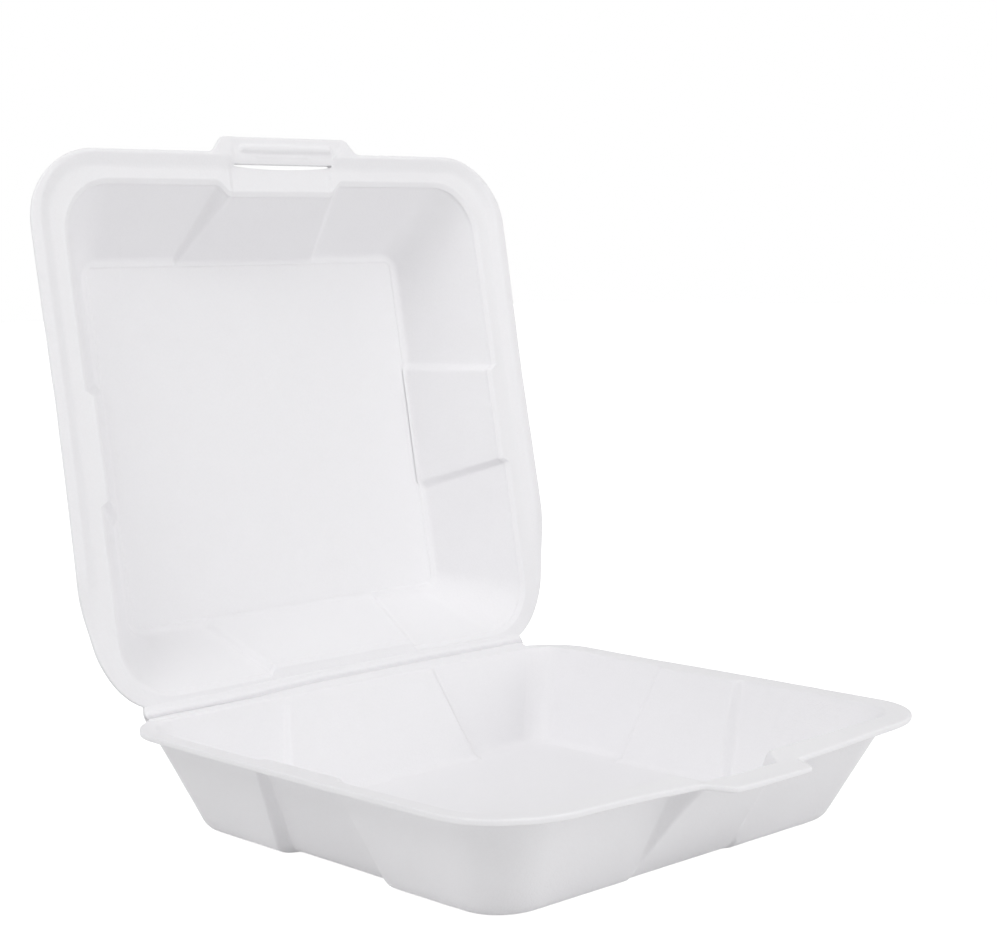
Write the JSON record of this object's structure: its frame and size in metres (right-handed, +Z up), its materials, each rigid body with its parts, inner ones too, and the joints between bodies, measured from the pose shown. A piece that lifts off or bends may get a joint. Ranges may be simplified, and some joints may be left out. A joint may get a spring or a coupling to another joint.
{
  "type": "foam clamshell container",
  "caption": "Empty square foam takeaway container with a hinged lid standing open, a latch tongue on the tray and a slotted pull tab on the lid.",
  "frame": {"origin": "centre of the tray's bottom face, on the surface that the container rests on", "axes": "+Z up, +Y towards the hinge, X along the hinge"},
  "size_m": [0.237, 0.2825, 0.2579],
  "materials": {
    "foam": "matte expanded foam with a fine bead texture"
  },
  "bodies": {
    "tray": {"tray": "foam"},
    "lid": {"lid": "foam"}
  },
  "joints": [
    {"name": "lid_hinge", "type": "hinge", "parent": "tray", "child": "lid", "pos_m": [0, 0.099, 0.04015], "axis": [-1, 0, 0], "range_deg": [-98.2, 80.2]}
  ]
}
